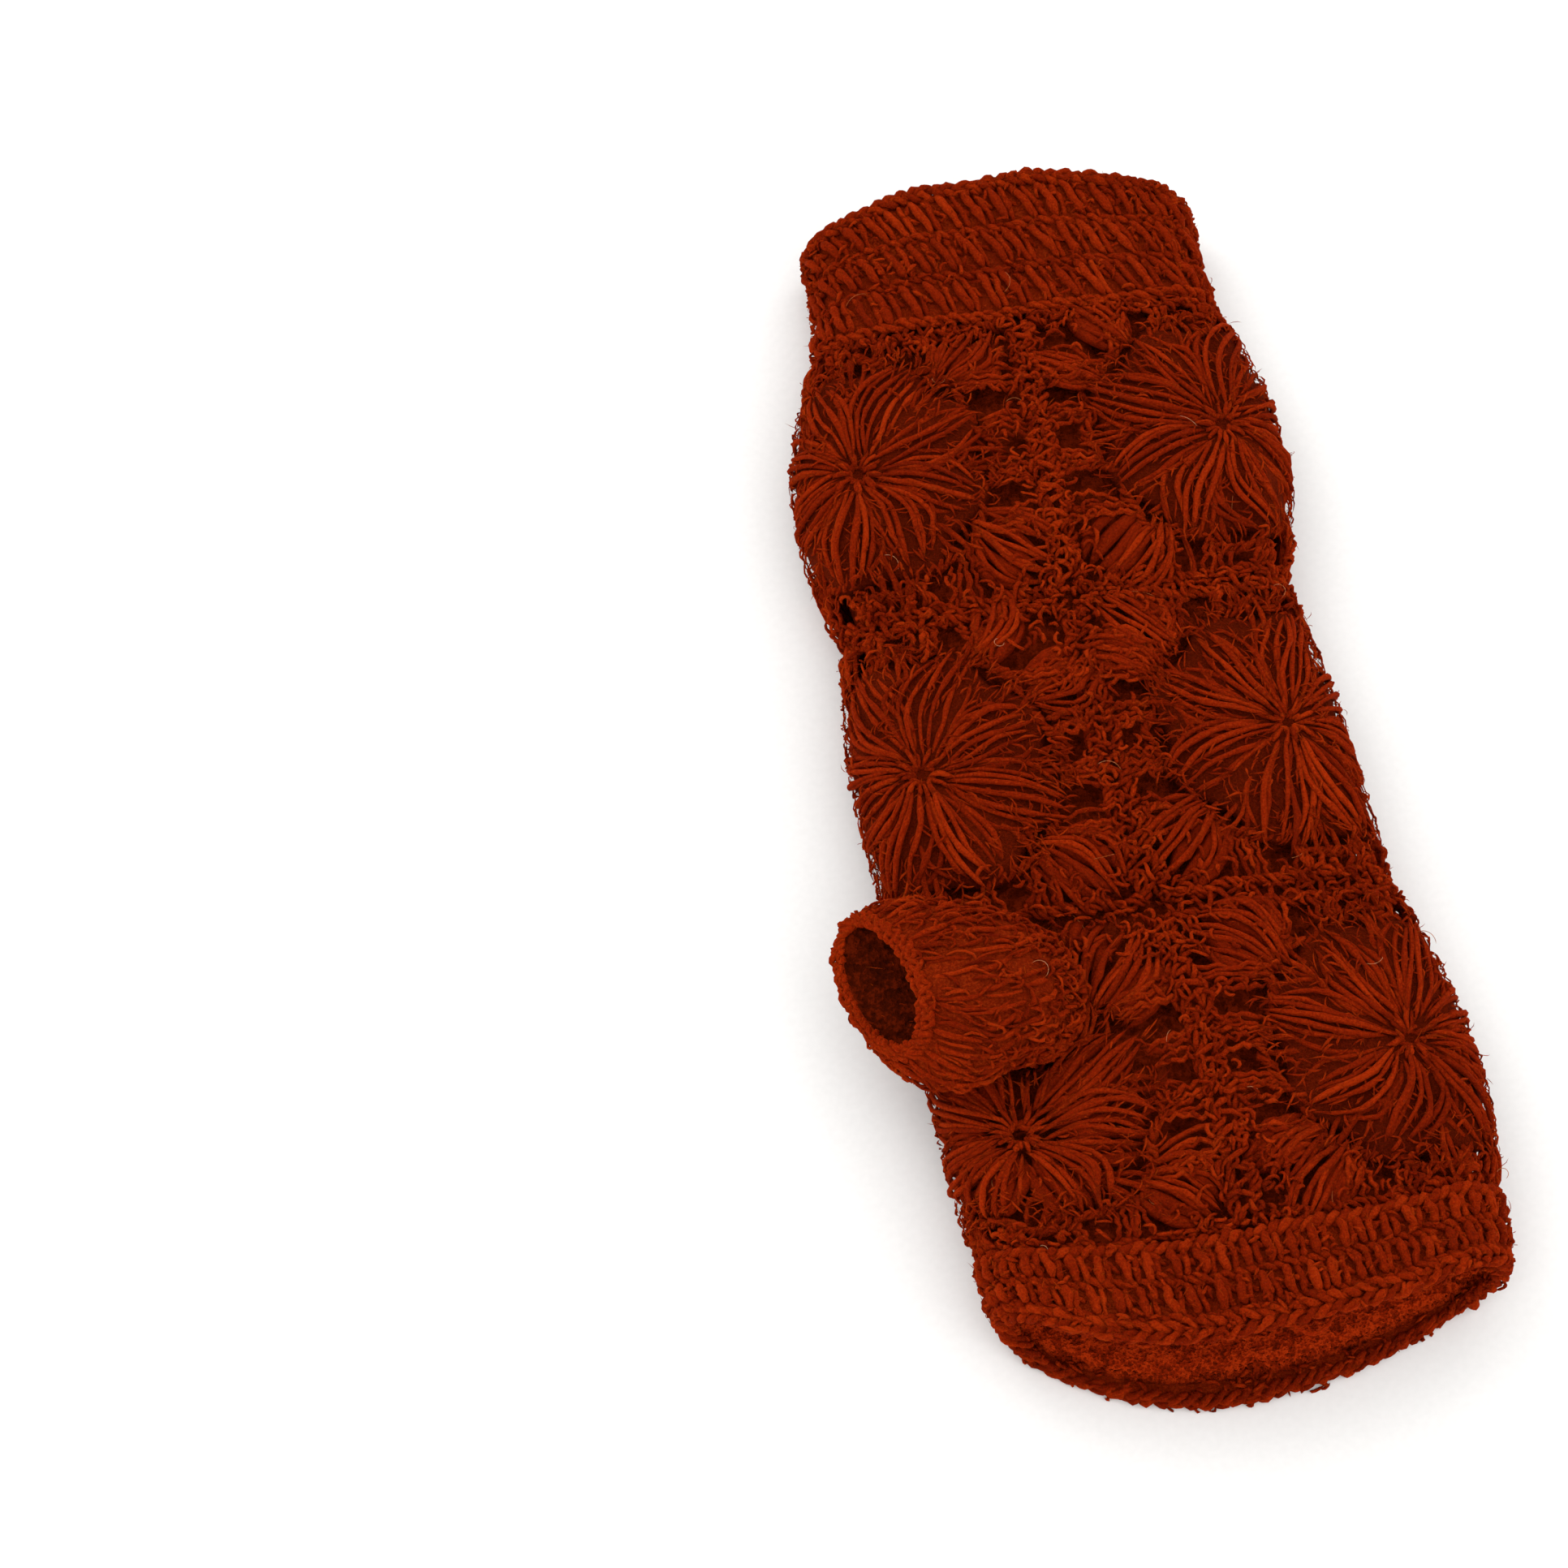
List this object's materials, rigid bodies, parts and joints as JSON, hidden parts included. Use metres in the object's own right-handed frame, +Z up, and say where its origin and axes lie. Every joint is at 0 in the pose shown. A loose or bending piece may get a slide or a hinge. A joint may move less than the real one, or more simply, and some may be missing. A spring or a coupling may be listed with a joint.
{
  "type": "crochet fingerless glove",
  "caption": "Lined fingerless crochet glove of joined flower squares with a wrist cuff, a finger band and a thumb sleeve, lying flat palm up.",
  "frame": {"origin": "on the floor under the middle of the glove's box as it lies", "axes": "+Z up, the palm facing up; +Y from the finger mouth to the wrist mouth; the thumb sleeve points to -X"},
  "size_m": [0.1166, 0.263, 0.0348],
  "materials": {
    "flower_wool": "rust-red wool yarn",
    "plain_wool": "rust-red wool yarn",
    "fleece": "brushed rust-red fleece"
  },
  "bodies": {
    "root": {"lining": "fleece", "finger_band": "plain_wool", "wrist_cuff": "plain_wool", "square_right_knuckle": "flower_wool", "square_back_knuckle": "flower_wool", "square_thumb_side_knuckle": "flower_wool", "square_right_palm": "flower_wool", "square_back_palm": "flower_wool", "square_thumb_side_palm": "flower_wool", "square_right_wrist": "flower_wool", "square_back_wrist": "flower_wool", "square_thumb_side_wrist": "flower_wool", "thumb_sleeve": "plain_wool"}
  },
  "joints": []
}
